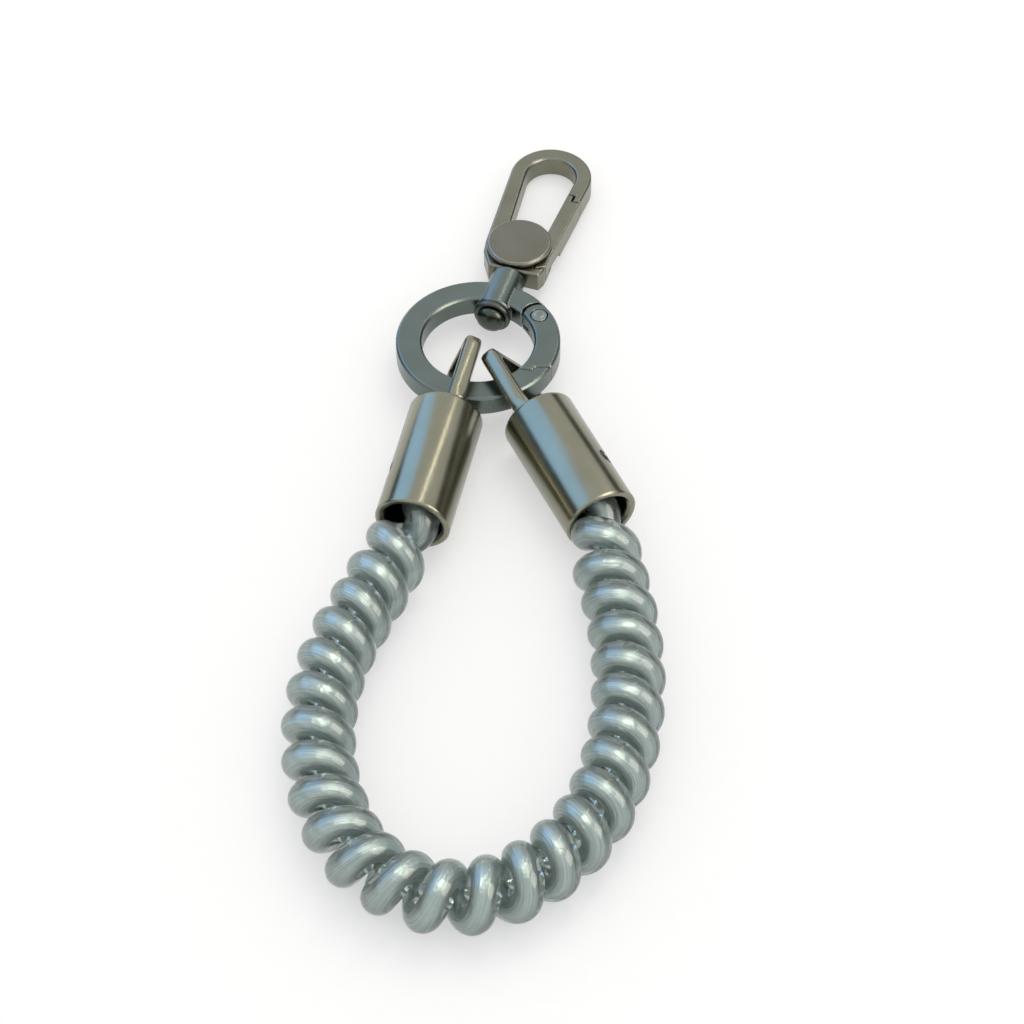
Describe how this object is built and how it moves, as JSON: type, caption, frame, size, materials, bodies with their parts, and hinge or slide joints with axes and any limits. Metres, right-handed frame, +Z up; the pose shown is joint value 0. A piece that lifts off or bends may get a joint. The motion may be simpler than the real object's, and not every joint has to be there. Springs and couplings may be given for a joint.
{
  "type": "coiled key lanyard",
  "caption": "Coiled wrist lanyard: a springy plastic cord loop, two metal ferrules, a spring-gate ring and a swivelling snap hook.",
  "frame": {"origin": "on the table under the middle of the metal parts' bounding box (the free curly cord left out)", "axes": "+X to the right, +Y from the wrist loop towards the hook's bend, +Z up from the table"},
  "size_m": [0.0753, 0.2005, 0.0158],
  "materials": {
    "gunmetal_zinc": "polished gunmetal plating",
    "gunmetal_satin": "satin gunmetal plating",
    "blackened_steel": "blackened, half matt",
    "spring_steel": "bright spring steel",
    "silver_cord": "glossy pearl silver"
  },
  "bodies": {
    "strap": {"coil_cord": "silver_cord", "ferrule_left": "gunmetal_zinc", "ferrule_right": "gunmetal_zinc", "set_screw_left": "blackened_steel", "set_screw_right": "blackened_steel", "crimp_sleeve_left": "blackened_steel", "crimp_sleeve_right": "blackened_steel"},
    "ring": {"ring_body": "gunmetal_zinc", "ring_gate_pin": "spring_steel", "ring_gate_spring": "spring_steel"},
    "ring_gate": {"ring_gate": "gunmetal_satin"},
    "hook": {"hook_body": "gunmetal_zinc", "hook_disc": "gunmetal_satin", "hook_gate_pin": "spring_steel", "hook_gate_spring": "spring_steel", "swivel_washer": "blackened_steel", "swivel_rivet": "spring_steel"},
    "hook_gate": {"hook_gate": "gunmetal_satin"}
  },
  "joints": [
    {"name": "ring_swing", "type": "hinge", "parent": "strap", "child": "ring", "pos_m": [-0.00413, -0.01743, 0.0079], "axis": [0.9914, 0.1305, 0], "range_deg": [-1, 95]},
    {"name": "ring_gate_hinge", "type": "hinge", "parent": "ring", "child": "ring_gate", "pos_m": [0.0072, 0.00233, 0.00647], "axis": [0.0102, -0.0778, -0.9969], "range_deg": [0, 3.5], "stiffness_Nm_per_rad": 0.02, "springref_deg": -9.74},
    {"name": "hook_swivel", "type": "hinge", "parent": "ring", "child": "hook", "pos_m": [0.00295, 0.02298, 0.00482], "axis": [0.3027, 0.9504, -0.0711], "continuous": true},
    {"name": "hook_gate_hinge", "type": "hinge", "parent": "hook", "child": "hook_gate", "pos_m": [0.00698, 0.02046, 0.00506], "axis": [-0.0102, 0.0778, 0.9969], "range_deg": [0, 22], "stiffness_Nm_per_rad": 0.02, "springref_deg": -9.74}
  ]
}
